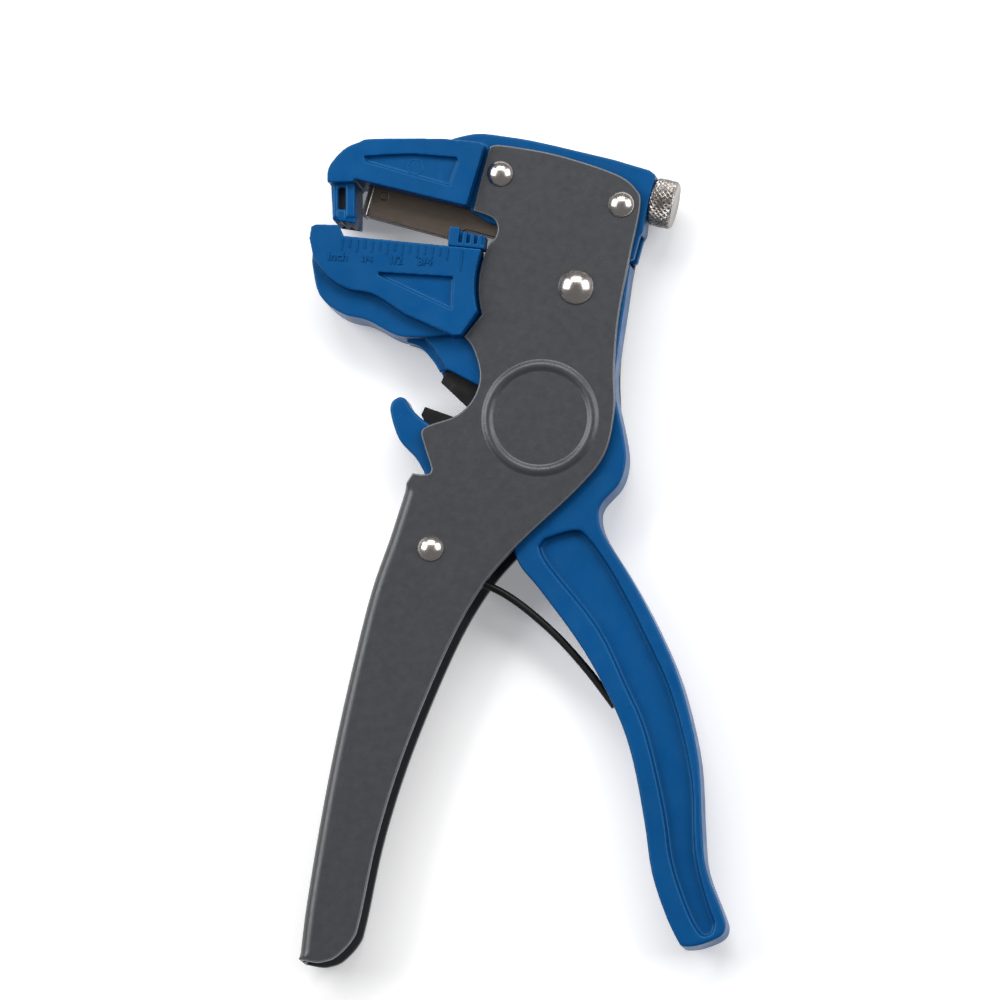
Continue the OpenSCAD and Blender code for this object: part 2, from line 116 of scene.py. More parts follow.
def mixed(tree, factor, a, b):
    node = tree.nodes.new("ShaderNodeMix")
    node.data_type = "RGBA"
    tree.links.new(factor, node.inputs["Factor"])
    for socket, value in ((node.inputs[6], a), (node.inputs[7], b)):
        if isinstance(value, tuple):
            socket.default_value = (*value, 1)
        else:
            tree.links.new(value, socket)
    return node.outputs[2]


def bump(tree, shader, height, strength, distance, under=None):
    node = tree.nodes.new("ShaderNodeBump")
    node.inputs["Strength"].default_value = strength
    node.inputs["Distance"].default_value = distance
    tree.links.new(height, node.inputs["Height"])
    if under:
        tree.links.new(under, node.inputs["Normal"])
    tree.links.new(node.outputs["Normal"], shader.inputs["Normal"])
    return node.outputs["Normal"]


def painted_sheet(name, base, rough):
    """Satin paint on sheet steel: faint orange peel, pale specks, slow tone changes."""
    mat, tree, shader, coords = graph(name)
    tone = spread(tree, noise(tree, coords, 35, 4), 0, 1)
    dark = tuple(c * 0.96 for c in base)
    light = tuple(c * 1.04 for c in base)
    colour = mixed(tree, tone, dark, light)
    specks = spread(tree, noise(tree, coords, 2200, 2, 0.5), 0, 0.4, 0.66, 0.76)
    colour = mixed(tree, specks, colour, tuple(min(1, c * 2.2) for c in base))
    tree.links.new(colour, shader.inputs["Base Color"])
    tree.links.new(spread(tree, noise(tree, coords, 600, 4), rough - 0.03, rough + 0.04),
                   shader.inputs["Roughness"])
    shader.inputs["IOR"].default_value = 1.6
    peel = bump(tree, shader, noise(tree, coords, 900, 2), 0.10, 0.0002)
    bump(tree, shader, noise(tree, coords, 3500, 1), 0.05, 0.0001, peel)
    return mat


def moulded_plastic(name, base, rough):
    """Injection-moulded nylon: fine eroded texture, slight flow marks and scuffs."""
    mat, tree, shader, coords = graph(name)
    tone = spread(tree, noise(tree, coords, 28, 5, 0.6), 0, 1)
    colour = mixed(tree, tone, tuple(c * 0.88 for c in base), tuple(c * 1.12 for c in base))
    scuffs = spread(tree, noise(tree, coords, 260, 6, 0.75, (1, 0.25, 1), 0.5), 0, 0.22, 0.62, 0.75)
    colour = mixed(tree, scuffs, colour, tuple(min(1, c * 1.5 + 0.02) for c in base))
    tree.links.new(colour, shader.inputs["Base Color"])
    tree.links.new(spread(tree, noise(tree, coords, 180, 5, 0.6), rough - 0.07, rough + 0.09),
                   shader.inputs["Roughness"])
    shader.inputs["IOR"].default_value = 1.46
    shader.inputs["Specular IOR Level"].default_value = 0.4
    shader.inputs["Specular Tint"].default_value = (0.35, 0.85, 1, 1)
    grain = bump(tree, shader, noise(tree, coords, 2600, 2, 0.6), 0.16, 0.0002)
    bump(tree, shader, noise(tree, coords, 120, 2), 0.08, 0.0004, grain)
    return mat


def metal(name, base, rough, streaks=None, turn=0.0, relief=0.06):
    """Bare or plated metal with fine handling marks, or ground with streaks along one way."""
    mat, tree, shader, coords = graph(name)
    shader.inputs["Metallic"].default_value = 1.0
    tone = spread(tree, noise(tree, coords, 90, 5, 0.6), 0, 1)
    colour = mixed(tree, tone, tuple(c * 0.9 for c in base), tuple(min(1, c * 1.06) for c in base))
    tree.links.new(colour, shader.inputs["Base Color"])
    marks = noise(tree, coords, 700, 4, 0.7, streaks, turn)
    tree.links.new(spread(tree, marks, rough - 0.04, rough + 0.10), shader.inputs["Roughness"])
    bump(tree, shader, marks, relief, 0.0001)
    return mat


def black_oxide(name, base, rough):
    """Blackened steel: dark, oily sheen with worn patches."""
    mat, tree, shader, coords = graph(name)
    worn = spread(tree, noise(tree, coords, 400, 6, 0.7), 0, 0.35, 0.58, 0.75)
    colour = mixed(tree, worn, base, (0.06, 0.058, 0.055))
    tree.links.new(colour, shader.inputs["Base Color"])
    shader.inputs["Metallic"].default_value = 0.55
    tree.links.new(spread(tree, noise(tree, coords, 300, 4), rough - 0.06, rough + 0.1),
                   shader.inputs["Roughness"])
    bump(tree, shader, noise(tree, coords, 1800, 3), 0.12, 0.0001)
    return mat


STREAKS = (1, 14, 1)
GREY = (0.030, 0.032, 0.037)
BLUE = (0.0004, 0.058, 0.200)
PAINT = painted_sheet("plate_paint", GREY, 0.36)
# lighter, shinier paint for the plates' rounded cut edges: a painted highlight along the edge
PAINT_EDGE_HIGHLIGHT = painted_sheet("plate_paint_edge_highlight", tuple(c * 3.2 for c in GREY), 0.3)
PLASTIC = moulded_plastic("blue_plastic", BLUE, 0.36)
NICKEL = metal("nickel_plate", (0.58, 0.53, 0.50), 0.2)
KNURLED = metal("nickel_knurl", (0.36, 0.335, 0.315), 0.3)
GROUND = metal("ground_steel", (0.55, 0.55, 0.56), 0.24, STREAKS, 0.3)
STRIP = metal("tempered_strip", (0.115, 0.094, 0.078), 0.36, STREAKS, 0.28, 0.1)
TURNED = metal("turned_steel", (0.5, 0.5, 0.51), 0.28)
BRASS = metal("brass", (0.62, 0.45, 0.19), 0.27)
WIRE = metal("spring_wire", (0.3, 0.3, 0.31), 0.3)
BLACK = black_oxide("black_steel", (0.011, 0.011, 0.012), 0.38)


# ---- mesh helpers -----------------------------------------------------------
SHARP_DEG = 32                              # edges sharper than this are rounded or kept crisp


def add(name, mesh, body, materials, nodes=()):
    piece = bpy.data.objects.new(name, mesh)
    bpy.context.scene.collection.objects.link(piece)
    for mat in materials:
        mesh.materials.append(mat)
    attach(piece, body)
    if nodes:
        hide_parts(*nodes)
    return piece


def smooth(mesh, angle):
    for poly in mesh.polygons:
        poly.use_smooth = True
    mesh.set_sharp_from_angle(angle=math.radians(angle))


def clean_copy(node):
    """A CAD node's mesh, welded, with its flat faces whole again."""
    bm = bmesh.new()
    bm.from_mesh(frame["nodes"][node].data)
    bmesh.ops.remove_doubles(bm, verts=bm.verts, dist=2e-6)
    bmesh.ops.dissolve_limit(bm, angle_limit=math.radians(0.4), verts=bm.verts, edges=bm.edges)
    return bm


def bevelled(piece, width, material):
    """Rounds sharp edges by up to width, less where the neighbouring edges are short."""
    bm = bmesh.new()
    bm.from_mesh(piece.data)
    weight = bm.edges.layers.float.new("bevel_weight_edge")
    for edge in bm.edges:
        if len(edge.link_faces) != 2 or edge.calc_face_angle(0) < math.radians(SHARP_DEG):
            continue
        way = (edge.verts[1].co - edge.verts[0].co).normalized()
        room = width
        for vert in edge.verts:
            for other in vert.link_edges:
                if other is edge or other.calc_length() == 0:
                    continue
                turn = abs((other.verts[1].co - other.verts[0].co).normalized().dot(way))
                if turn < 0.8:
                    room = min(room, 0.42 * other.calc_length())
        edge[weight] = max(0.02, room / width)
    bm.to_mesh(piece.data)
    bm.free()
    mod = piece.modifiers.new("rounded_edges", "BEVEL")
    mod.width = width
    mod.segments = 3
    mod.limit_method = "WEIGHT"
    mod.harden_normals = True
    mod.miter_outer = "MITER_SHARP"
    mod.use_clamp_overlap = False
    mod.material = material


def refined(node, body, materials, width, edge=-1):
    """Stands for a CAD node: the same shape with rounded edges, which may have a material of their own."""
    bm = clean_copy(node)
    mesh = bpy.data.meshes.new(node + "_look")
    bm.to_mesh(mesh)
    bm.free()
    smooth(mesh, SHARP_DEG)
    bevelled(add(node + "_look", mesh, body, materials, (node,)), width, edge)


def lathe(name, profile, axis, origin, body, mat, nodes=(), steps=64, sharp=35):
    """A turned piece: profile is a list of (radius, height) in mm up the axis."""
    bm = bmesh.new()
    turn = Vector((0, 0, 1)).rotation_difference(axis).to_matrix()
    rings = []
    for radius, height in profile:
        if radius == 0:
            rings.append([bm.verts.new(origin + turn @ Vector((0, 0, height * MM)))])
            continue
        ring = []
        for k in range(steps):
            a = 2 * math.pi * k / steps
            point = Vector((radius * math.cos(a), radius * math.sin(a), height)) * MM
            ring.append(bm.verts.new(origin + turn @ point))
        rings.append(ring)
    for low, high in zip(rings, rings[1:]):
        for k in range(steps):
            j = (k + 1) % steps
            if len(low) == 1:
                bm.faces.new((low[0], high[j], high[k]))
            elif len(high) == 1:
                bm.faces.new((low[k], low[j], high[0]))
            else:
                bm.faces.new((low[k], low[j], high[j], high[k]))
    bmesh.ops.recalc_face_normals(bm, faces=bm.faces)
    mesh = bpy.data.meshes.new(name)
    bm.to_mesh(mesh)
    bm.free()
    smooth(mesh, sharp)
    return add(name, mesh, body, [mat], nodes)


def wire(name, points, radius, body, mat, nodes=()):
    curve = bpy.data.curves.new(name, "CURVE")
    curve.dimensions = "3D"
    curve.bevel_depth = radius
    curve.bevel_resolution = 5
    curve.use_fill_caps = True
    spline = curve.splines.new("POLY")
    spline.points.add(len(points) - 1)
    for point, place in zip(spline.points, points):
        point.co = (*place, 1)
    spline.use_smooth = True
    return add(name, curve, body, [mat], nodes)


def through(points, steps):
    """Points of a smooth curve through the given ones."""
    found = []
    for i in range(len(points) - 1):
        a, b, c, d = (points[max(0, min(len(points) - 1, i + k))] for k in (-1, 0, 1, 2))
        for s in range(steps):
            t = s / steps
            found.append(0.5 * (2 * b + (c - a) * t + (2 * a - 5 * b + 4 * c - d) * t * t
                                + (3 * b - a - 3 * c + d) * t ** 3))
    return found + [points[-1]]


# ---- camera -----------------------------------------------------------------
VIEW_RIGHT = 0.125                          # the view leans this far right and down per unit of depth
VIEW_DOWN = 0.14
VIEW_DISTANCE = 3.0
VIEW_TARGET = Vector((-2.35 * MM, 9.2 * MM, PLATE_FACE))
VIEW_WIDTH = 208.1165 * MM                 # across the picture, at the target
SENSOR = 36                                 # mm
camera = bpy.data.objects.new("camera", bpy.data.cameras.new("camera"))
bpy.context.scene.collection.objects.link(camera)
toward = Vector((VIEW_RIGHT, -VIEW_DOWN, 1)).normalized()
camera.location = VIEW_TARGET + toward * VIEW_DISTANCE
side = Vector((0, 1, 0)).cross(toward).normalized()
camera.matrix_world = Matrix.LocRotScale(
    camera.location, Matrix((side, toward.cross(side), toward)).transposed(), None)
camera.data.sensor_width = SENSOR
camera.data.lens = SENSOR * VIEW_DISTANCE / VIEW_WIDTH
camera.data.clip_end = 20
bpy.context.scene.camera = camera


# ---- side plates --------------------------------------------------------------
SHEET = 1.5 * MM
SPINE_GAP = 0.05 * MM
FOLD_R = 2.3 * MM                          # bend round the spine
FOLD_EASE = 1.8 * MM                       # length over which the bend grows from the cut edge
EDGE_R = 0.32 * MM                         # front cut edge
BURR_R = 0.15 * MM                         # back cut edge
OUTLINE_STEP = 0.45 * MM
SAME_LEVEL = 0.02 * MM
CORNER_DEG = 28                            # sharper turns of an outline stay corners
EDGE_STEPS = 8


def flat_loops(node, z):
    """The outlines of a node's flat faces at a height, largest first, each turning left."""
    bm = bmesh.new()
    bm.from_mesh(frame["nodes"][node].data)
    bmesh.ops.remove_doubles(bm, verts=bm.verts, dist=2e-6)
    flat = {f for f in bm.faces if abs(f.normal.z) > 0.99 and abs(f.calc_center_median().z - z) < SAME_LEVEL}
    after = {}
    for face in flat:
        for corner in face.loops:
            if not any(other in flat for other in corner.edge.link_faces if other is not face):
                after[corner.vert.index] = corner.link_loop_next.vert.index
    bm.verts.ensure_lookup_table()
    loops = []
    while after:
        start, here = next(iter(after.items()))
        found = [start]
        while here != start and here in after:
            found.append(here)
            here = after.pop(here)
        after.pop(start, None)
        loops.append([bm.verts[k].co.to_2d() for k in found])
    bm.free()
    loops = [loop if area_of(loop) > 0 else loop[::-1] for loop in loops]
    return sorted(loops, key=area_of, reverse=True)


def area_of(loop):
    return sum(a.x * b.y - b.x * a.y for a, b in zip(loop, loop[1:] + loop[:1])) / 2


def fair(loop, step):
    """The loop with points close together, smooth except at its sharp corners."""
    n = len(loop)
    tangents = []
    for i in range(n):
        back, on = loop[i] - loop[i - 1], loop[(i + 1) % n] - loop[i]
        if back.angle(on, 0) > math.radians(CORNER_DEG):
            tangents.append(None)
        else:
            tangents.append((back.normalized() * on.length + on.normalized() * back.length).normalized())
    found = []
    for i in range(n):
        a, b = loop[i], loop[(i + 1) % n]
        gap = b - a
        ta = (tangents[i] or gap.normalized()) * gap.length
        tb = (tangents[(i + 1) % n] or gap.normalized()) * gap.length
        steps = max(1, round(gap.length / step))
        for k in range(steps):
            t = k / steps
            found.append(a * (2 * t ** 3 - 3 * t ** 2 + 1) + ta * (t ** 3 - 2 * t ** 2 + t)
                         + b * (3 * t ** 2 - 2 * t ** 3) + tb * (t ** 3 - t ** 2))
    return found


def inward(loop):
    """For each point of a left-turning loop, the way in, long enough for mitred offsets."""
    ways = []
    for i in range(len(loop)):
        back = (loop[i] - loop[i - 1]).normalized()
        on = (loop[(i + 1) % len(loop)] - loop[i]).normalized()
        n1, n2 = Vector((-back.y, back.x)), Vector((-on.y, on.x))
        ways.append((n1 + n2) / max(0.5, 1 + n1.dot(n2)))
    return ways


def side_plate(node, face_z, down):
    """Sheet with rounded cut edges, its long edge turned in to the spine round a wide bend; the rounded cut
    edges take a lighter paint, a painted highlight.
    """
    loops = flat_loops(node, face_z)
    rough = loops[0]
    spine_z = MID_Z - down * SPINE_GAP
    spine = {(round(v.co.x, 5), round(v.co.y, 5)) for v in frame["nodes"][node].data.vertices
             if abs(v.co.z - spine_z) < SAME_LEVEL}
    on_spine = [(round(p.x, 5), round(p.y, 5)) in spine for p in rough]
    outline, folded = [], []
    dense = fair(rough, OUTLINE_STEP)
    ends = [p for i, p in enumerate(rough)
            if on_spine[i] and not (on_spine[i - 1] and on_spine[(i + 1) % len(rough)])]
    corner = 0
    for p in dense:
        if corner < len(rough) and (p - rough[corner]).length < 1e-7:
            corner += 1
        here, there = corner - 1, corner % len(rough)
        inside = on_spine[here] and (on_spine[there] or (p - rough[here]).length < 1e-7)
        folded.append(inside)
        outline.append(p)
    ways = inward(outline)
    radii = []
    for p, inside in zip(outline, folded):
        near = min((p - e).length for e in ends)
        ease = min(1, near / FOLD_EASE)
        radii.append(EDGE_R + (FOLD_R - EDGE_R) * math.sin(ease * math.pi / 2) if inside else EDGE_R)
    rings = [[(p + w * (r + 0.06 * MM), face_z) for p, w, r in zip(outline, ways, radii)]]
    for k in range(EDGE_STEPS + 1):
        a = math.pi / 2 * k / EDGE_STEPS
        rings.append([(p + w * r * (1 - math.sin(a)), face_z + down * r * (1 - math.cos(a)))
                      for p, w, r in zip(outline, ways, radii)])
    back_z = face_z + down * SHEET
    rings.append([(p, spine_z) if f else (p, back_z - down * BURR_R) for p, f in zip(outline, folded)])
    rings.append([(p + w * SHEET, spine_z) if f else (p + w * BURR_R, back_z)
                  for p, w, f in zip(outline, ways, folded)])
    rings.append([(p + w * (SHEET if f else BURR_R + 0.02 * MM), back_z)
                  for p, w, f in zip(outline, ways, folded)])
    bm = bmesh.new()
    made = [[bm.verts.new((p.x, p.y, z)) for p, z in ring] for ring in rings]
    n = len(outline)
    for k, (top, low) in enumerate(zip(made, made[1:])):
        for i in range(n):
            j = (i + 1) % n
            face = bm.faces.new((top[i], top[j], low[j], low[i]))
            # the rounded cut edges, not the bend, take the second, lighter paint: a painted highlight
            face.material_index = int(0 < k <= EDGE_STEPS and not folded[i])
    holes = [loop for loop in loops[1:] if loop_radius(loop) < 3 * MM]
    fronts = [[bm.verts.new((p.x, p.y, face_z)) for p in hole] for hole in holes]
    backs = [[bm.verts.new((p.x, p.y, back_z)) for p in hole] for hole in holes]
    for front, back in zip(fronts, backs):
        for i in range(len(front)):
            j = (i + 1) % len(front)
            bm.faces.new((front[i], front[j], back[j], back[i]))
    for ring, around in ((made[0], fronts), (made[-1], backs)):
        groups = [ring] + around
        flat = [v for group in groups for v in group]
        for tri in tessellate_polygon([[v.co for v in group] for group in groups]):
            if len({flat[k] for k in tri}) == 3:
                try:
                    bm.faces.new([flat[k] for k in tri])
                except ValueError:
                    pass
    bmesh.ops.recalc_face_normals(bm, faces=bm.faces)
    mesh = bpy.data.meshes.new(node + "_look")
    bm.to_mesh(mesh)
    bm.free()
    smooth(mesh, 40)
    return add(node + "_look", mesh, "frame", [PAINT, PAINT_EDGE_HIGHLIGHT], (node,))


def loop_radius(loop):
    xs = [p.x for p in loop]
    return (max(xs) - min(xs)) / 2


RING_PROFILE = ((9.75, -0.02), (10.0, 0.04), (10.3, 0.2), (10.6, 0.36), (10.85, 0.43), (11.1, 0.45),
                (11.35, 0.43), (11.6, 0.36), (11.9, 0.2), (12.2, 0.04), (12.45, -0.02))


def side_plates():
    reach = PLATE_FACE - MID_Z
    side_plate("front_plate", MID_Z + reach, -1)
    side_plate("rear_plate", MID_Z - reach, 1)
    for name, up in (("front_ring", 1), ("rear_ring", -1)):
        origin = Vector((AXLE.x, AXLE.y, MID_Z + up * reach))
        lathe(name, RING_PROFILE, Vector((0, 0, up)), origin, "frame", PAINT,
              steps=128, sharp=70)


# ---- rivets --------------------------------------------------------------------
SKIRT = 0.18                               # mm
DOME_STEPS = 12
SMALL_SHANK = 1.2
BIG_SHANK = 2


def dome_profile(radius, height, flat, reach):
    """Half of a rivet: shank, a short straight skirt, and the dome above the plate face."""
    ball = (radius ** 2 + height ** 2) / (2 * height)
    points = [(flat, 0), (flat, reach), (radius - 0.12, reach), (radius, reach + 0.08),
              (radius, reach + SKIRT)]
    for k in range(1, DOME_STEPS + 1):
        r = radius * math.cos(math.pi / 2 * k / DOME_STEPS) if k < DOME_STEPS else 0
        z = math.sqrt(max(0, ball ** 2 - r ** 2)) - (ball - height)
        points.append((r, reach + SKIRT + z * (height - SKIRT) / height))
    return points


def rivet(name, place, head_mm, height_mm, shank_mm, nodes=()):
    reach = (PLATE_FACE - MID_Z) / MM
    half = dome_profile(head_mm, height_mm, shank_mm, reach)
    profile = [(r, -z) for r, z in reversed(half)] + half
    origin = Vector((place.x, place.y, MID_Z))
    return lathe(name, profile, Vector((0, 0, 1)), origin, "frame", NICKEL, nodes, 72, 40)


def head_size(node):
    low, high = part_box(node)
    return (high.y - low.y) / 2 / MM, (high.z - PLATE_FACE) / MM


def rivets():
    verts = [v.co for v in frame["nodes"]["jaw_rivets"].data.vertices]
    low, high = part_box("jaw_rivets")
    split = (low.x + high.x) / 2
    small, small_h = head_size("spring_rivet")
    for k, name in enumerate(("jaw_rivet_left", "jaw_rivet_right")):
        part = [v for v in verts if (v.x > split) == bool(k)]
        xs, ys = [v.x for v in part], [v.y for v in part]
        place = Vector(((min(xs) + max(xs)) / 2, (min(ys) + max(ys)) / 2, 0))
        rivet(name, place, small, small_h, SMALL_SHANK, ("jaw_rivets",))
    rivet("spring_rivet_look", COIL, small, small_h, SMALL_SHANK, ("spring_rivet",))
    big, big_h = head_size("main_rivet")
    rivet("main_rivet_look", MAIN, big, big_h, BIG_SHANK, ("main_rivet",))


# ---- blue plastic -----------------------------------------------------------------
def moulded(node, body, grain, passes):
    """Stands for a moulded CAD node: its shape with every edge softly rounded."""
    bm = clean_copy(node)
    mesh = bpy.data.meshes.new(node + "_look")
    bm.to_mesh(mesh)
    bm.free()
    piece = add(node + "_look", mesh, body, [PLASTIC], (node,))
    remesh = piece.modifiers.new("even_grain", "REMESH")
    remesh.mode = "VOXEL"
    remesh.voxel_size = grain
    remesh.use_smooth_shade = True
    soften = piece.modifiers.new("rounded_edges", "SMOOTH")
    soften.factor = 0.5
    soften.iterations = passes


POCKET_DEEP = 1.2 * MM
MARK_FROM_PIVOT = Vector((-33.6, 25.7, 0)) * MM


def plastics():
    moulded("upper_jaw", "frame", 0.2 * MM, 8)
    moulded("lower_jaw", "lower_jaw", 0.2 * MM, 8)
    moulded("moving_handle", "handle", 0.24 * MM, 12)
    moulded("length_stop", "length_stop", 0.12 * MM, 3)
    origin = MAIN + MARK_FROM_PIVOT
    origin.z = JAW_FACE - POCKET_DEEP
    lathe("mould_mark", ((1.4, -0.05), (1.5, 0.09), (1.7, 0.09), (1.8, -0.05)), Vector((0, 0, 1)),
          origin, "frame", PLASTIC, steps=48, sharp=60)


# Inch scale moulded on the lower jaw
TICK = 25.4 / 16                           # mm
TICKS = 15
TICK_FROM = -27.3
TICK_TOP = 5.1
LONG_TICK = 2.5
SHORT_TICK = 1.8
TICK_HALF_W = 0.16 * MM
LINE_AT = -24.2                            # the long line beside the stop
LINE_LONG = 4.5
LINE_HALF_W = 0.18 * MM
ROOT = 0.05 * MM                           # how far raised marks start inside the jaw
LABELS = (("Inch", -52.4, 0.2, 2.6), ("1/4", -45.4, 0.5, 2.0),   # text, place on the jaw, size
          ("1/2", -39.5, 0.7, 2.4), ("3/4", -33.4, 1.0, 2.5))
RAISED = 0.2 * MM


def bar(bm, a, b, half_w, low, high):
    """A small raised bar with a narrower top, from a to b."""
    way = (b - a).normalized()
    out = Vector((-way.y, way.x, 0))
    rings = []
    for z, w in ((low, half_w), (high, half_w * 0.6)):
        trim = way * (half_w - w)
        ring = [a + trim + out * w, a + trim - out * w, b - trim - out * w, b - trim + out * w]
        rings.append([bm.verts.new((p.x, p.y, z)) for p in ring])
    bm.faces.new(rings[1])
    for k in range(4):
        j = (k + 1) % 4
        bm.faces.new((rings[0][k], rings[0][j], rings[1][j], rings[1][k]))


def inch_scale():
    bm = bmesh.new()
    for k in range(TICKS):
        u = TICK_FROM - k * TICK
        low_end = TICK_TOP - (SHORT_TICK if k % 2 else LONG_TICK)
        bar(bm, on_jaw(u, TICK_TOP), on_jaw(u, low_end), TICK_HALF_W, JAW_FACE - ROOT, JAW_FACE + RAISED)
    bar(bm, on_jaw(LINE_AT, TICK_TOP), on_jaw(LINE_AT, TICK_TOP - LINE_LONG), LINE_HALF_W,
        JAW_FACE - ROOT, JAW_FACE + RAISED)
    bmesh.ops.recalc_face_normals(bm, faces=bm.faces)
    mesh = bpy.data.meshes.new("scale_ticks")
    bm.to_mesh(mesh)
    bm.free()
    add("scale_ticks", mesh, "lower_jaw", [PLASTIC])
    for text, u, v, size in LABELS:
        curve = bpy.data.curves.new("label_" + text.replace("/", "_"), "FONT")
        curve.body = text
        curve.size = size * MM
        curve.extrude = RAISED / 2
        curve.bevel_depth = 0.03 * MM
        label = bpy.data.objects.new(curve.name, curve)
        bpy.context.scene.collection.objects.link(label)
        label.location = on_jaw(u, v, JAW_FACE + RAISED / 2)
        label.rotation_euler = (0, 0, math.atan2(PULL.y, PULL.x) * 0.6)
        curve.materials.append(PLASTIC)
        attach(label, "lower_jaw")


# ---- steel pieces -------------------------------------------------------------------
def steel_pieces():
    for node, body, slot, mat, width in (
            ("upper_blade_strip", "upper_blade", "blade_strip_steel", STRIP, 0.18),
            ("lower_blade_strip", "lower_blade", "blade_strip_steel", STRIP, 0.15),
            ("upper_stripping_blade", "upper_blade", "bright_steel", (STRIP, GROUND), 0.26),
            ("lower_stripping_blade", "lower_blade", "bright_steel", GROUND, 0.06),
            ("upper_grip_pad", "frame", "black_steel", BLACK, 0.08),
            ("lower_grip_pad", "lower_jaw", "black_steel", BLACK, 0.08),
            ("upper_cutter", "lower_jaw", "black_steel", BLACK, 0.12),
            ("lower_cutter", "handle", "black_steel", BLACK, 0.12),
            ("upper_cutter_pin", "lower_jaw", "bright_steel", TURNED, 0.15),
            ("lower_cutter_pin", "handle", "bright_steel", TURNED, 0.15),
            ("draw_pin", "handle", "bright_steel", TURNED, 0.2),
            ("upper_blade_pin", "upper_blade", "bright_steel", STRIP, 0.1),
            ("lower_blade_pin", "lower_blade", "bright_steel", TURNED, 0.08),
            ("pivot_axle", "frame", "bright_steel", TURNED, 0.2),
            ("spring_sleeve", "frame", "bright_steel", TURNED, 0.15),
            ("screw_bush", "frame", "brass", BRASS, 0.1),
            ("pressure_nut", "pressure_nut", "brass", BRASS, 0.15),
            ("pressure_shoe", "frame", "bright_steel", TURNED, 0.2)):
        edge = 1 if isinstance(mat, tuple) else -1
        refined(node, body, mat if edge == 1 else [mat], width * MM, edge)


# ---- pressure screw --------------------------------------------------------------------
KNOB_R = 5.1
KNOB_HALF = 2.4
KNURL_N = 27
KNURL_DEPTH = 0.5
KNURL_ROWS = 34
CHAMFER = 0.5
SHANK_R = 1.5
THREAD_ROOT = 1.28
THREAD_FROM = 6                            # mm along the screw
PITCH = 0.5
THREADS = 28


def ridge(x):
    """A V-shaped ridge of height 1 repeating every unit of x."""
    return 1 - abs(2 * (x % 1) - 1)


def knob():
    axis = along("screw_turn")
    turn = Vector((0, 0, 1)).rotation_difference(axis).to_matrix()
    steps = KNURL_N * 8
    bm = bmesh.new()
    rings = []
    for i in range(KNURL_ROWS + 1):
        h = -KNOB_HALF + 2 * KNOB_HALF * i / KNURL_ROWS
        ease = min(1, (KNOB_HALF - abs(h)) / 0.55)
        ring = []
        for k in range(steps):
            a = k / steps
            lead = h / (2 * math.pi * KNOB_R / KNURL_N)
            cut = max(ridge(a * KNURL_N + lead), ridge(a * KNURL_N - lead))
            r = KNOB_R - KNURL_DEPTH * (1 - cut) * ease - CHAMFER * (1 - ease)
            angle = 2 * math.pi * a
            point = Vector((r * math.cos(angle), r * math.sin(angle), h)) * MM
            ring.append(bm.verts.new(KNOB + turn @ point))
        rings.append(ring)
    for low, high in zip(rings, rings[1:]):
        for k in range(steps):
            j = (k + 1) % steps
            bm.faces.new((low[k], low[j], high[j], high[k]))
    for ring, sign in ((rings[0], -1), (rings[-1], 1)):
        last = ring
        for r, h in ((3.9, KNOB_HALF + 0.02), (3.5, KNOB_HALF - 0.1), (1.5, KNOB_HALF - 0.12)):
            inner = []
            for k in range(steps):
                angle = 2 * math.pi * k / steps
                point = Vector((r * math.cos(angle), r * math.sin(angle), sign * h)) * MM
                inner.append(bm.verts.new(KNOB + turn @ point))
            for k in range(steps):
                j = (k + 1) % steps
                bm.faces.new((last[k], last[j], inner[j], inner[k]))
            last = inner
        bm.faces.new(last)
    bmesh.ops.recalc_face_normals(bm, faces=bm.faces)
    mesh = bpy.data.meshes.new("pressure_knob")
    bm.to_mesh(mesh)
    bm.free()
    smooth(mesh, 22)
    add("pressure_knob", mesh, "pressure_screw", [KNURLED], ("pressure_screw",))
    shank = [(0, KNOB_HALF - 0.3), (SHANK_R, KNOB_HALF - 0.3), (SHANK_R, THREAD_FROM)]
    for k in range(THREADS):
        shank += [(THREAD_ROOT, THREAD_FROM + (k + 0.5) * PITCH), (SHANK_R, THREAD_FROM + (k + 1) * PITCH)]
    shank += [(1.1, 20.5), (0, 20.5)]
    lathe("pressure_shank", shank, axis, KNOB, "pressure_screw", TURNED, steps=40, sharp=60)


HELIX_STEPS = 28                            # to a turn


def helix(centre, axis, radius, start, end, turns, phase=0.0):
    """Points of a coil from start to end along its axis."""
    turn = Vector((0, 0, 1)).rotation_difference(axis).to_matrix()
    points = []
    total = int(turns * HELIX_STEPS)
    for k in range(total + 1):
        a = phase + 2 * math.pi * turns * k / total
        h = start + (end - start) * k / total
        points.append(centre + turn @ Vector((radius * math.cos(a), radius * math.sin(a), h)))
    return points


COIL_R = 3.4 * MM
COIL_HALF = 3.1 * MM
COIL_TURNS = 4
WIRE_R = 0.82 * MM
LEG = ((2.2, -4.3, 2.9), (13.9, -8.6, 1.2), (23.6, -16, 0.3), (31.5, -24.5, 0), (37.9, -33, 0))
SHORT_END = ((-5.4, 4.6, -3.1), (-4.4, 4.3, -3.1), (-3.2, 3.6, -3.1))


def springs():
    low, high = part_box("pressure_spring")
    middle = (low + high) / 2
    axis = along("nut_travel")
    half = 4.15 * MM
    wire("pressure_spring_look", helix(middle, axis, 2.02 * MM, -half, half, 7.5), 0.26 * MM,
         "pressure_nut", WIRE, ("pressure_spring",))
    # coil round its rivet, a short end against the spine, a long leg to the moving handle
    phase = math.radians(-131 - 360 * COIL_TURNS)
    coil = helix(COIL, Vector((0, 0, 1)), COIL_R, -COIL_HALF, COIL_HALF, COIL_TURNS, phase)
    leg = [coil[-1]] + [COIL + Vector(p) * MM for p in LEG]
    tail = [COIL + Vector(p) * MM for p in SHORT_END]
    points = through(tail + [coil[0]], 5)[:-1] + coil[:-1] + through(leg, 8)
    wire("return_spring_look", points, WIRE_R, "return_spring", BLACK, ("return_spring",))


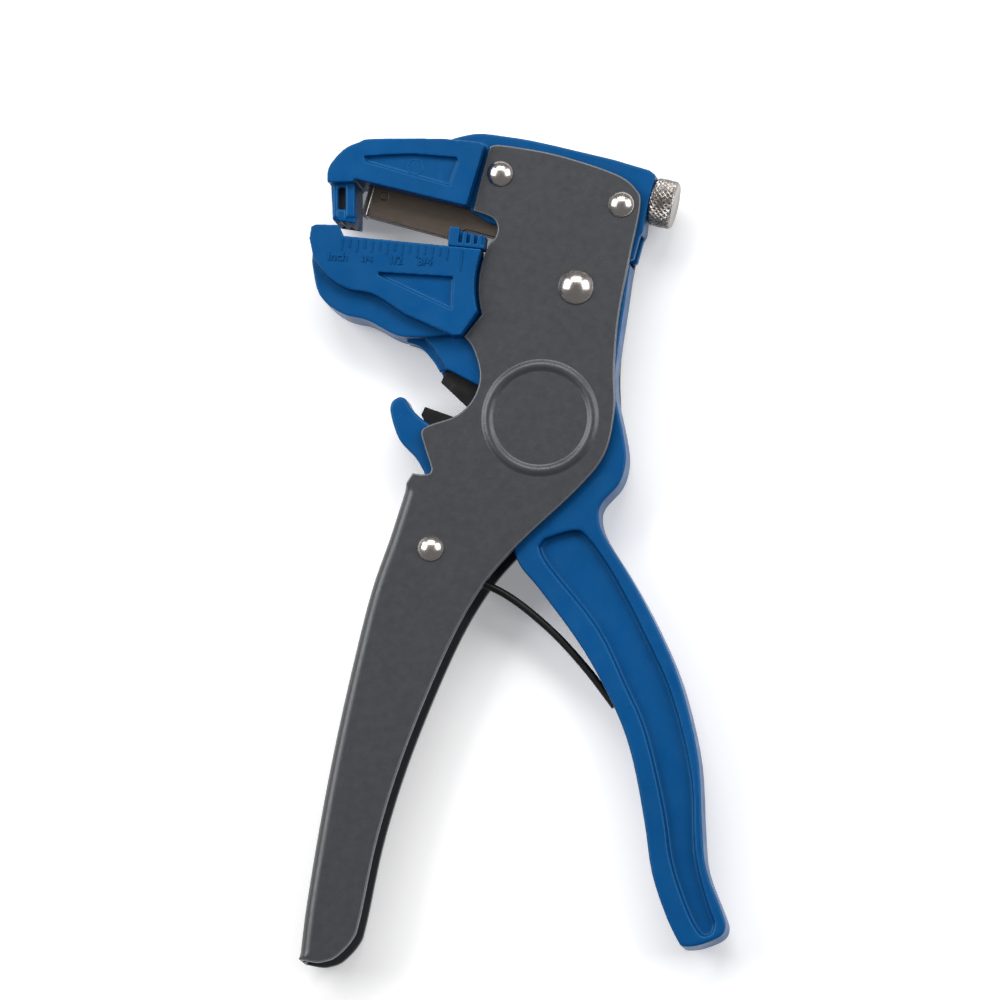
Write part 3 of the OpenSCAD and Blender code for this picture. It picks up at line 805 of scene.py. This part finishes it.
# ---- floor and light ------------------------------------------------------------------------
def area(name, place, target, size, power):
    light = bpy.data.lights.new(name, "AREA")
    light.shape = "RECTANGLE"
    light.size, light.size_y = size
    light.energy = power
    lamp = bpy.data.objects.new(name, light)
    bpy.context.scene.collection.objects.link(lamp)
    lamp.location = place
    lamp.rotation_euler = (Vector(place) - Vector(target)).to_track_quat("Z", "Y").to_euler()


FLOOR_HALF = 3.0
FLOOR_GLOW = 0.2
WORLD_LIGHT = 0.22
LIGHTS = (("softbox_left", (-0.8, 0.35, 0.75), (0, 0.02, 0), (0.8, 0.7), 8.6),   # place, aim, size, watts
          ("softbox_right", (0.85, 0.3, 0.75), (0, 0.02, 0), (0.8, 0.7), 7.4),
          ("overhead", (0.0, 0.85, 0.95), (0, 0.07, 0), (0.9, 0.5), 8))


def studio():
    mesh = bpy.data.meshes.new("floor")
    corners = [(x * FLOOR_HALF, y * FLOOR_HALF, 0) for x, y in ((-1, -1), (1, -1), (1, 1), (-1, 1))]
    mesh.from_pydata(corners, [], [(0, 1, 2, 3)])
    floor = bpy.data.objects.new("floor", mesh)
    bpy.context.scene.collection.objects.link(floor)
    mat, tree, shader, coords = graph("floor_paper")
    tree.links.new(mixed(tree, spread(tree, noise(tree, coords, 8, 3), 0, 1), (0.93, 0.93, 0.935),
                         (0.945, 0.945, 0.95)), shader.inputs["Base Color"])
    shader.inputs["Roughness"].default_value = 0.85
    shader.inputs["Emission Color"].default_value = (1, 1, 1, 1)
    shader.inputs["Emission Strength"].default_value = FLOOR_GLOW
    mesh.materials.append(mat)
    world = bpy.data.worlds.new("studio")
    world.use_nodes = True
    world.node_tree.nodes["Background"].inputs["Color"].default_value = (0.97, 0.98, 1, 1)
    world.node_tree.nodes["Background"].inputs["Strength"].default_value = WORLD_LIGHT
    bpy.context.scene.world = world
    for name, place, aim, size, watts in LIGHTS:
        area(name, place, aim, size, watts)
    bpy.context.scene.view_settings.view_transform = "Standard"


side_plates()
rivets()
plastics()
inch_scale()
steel_pieces()
knob()
springs()
studio()
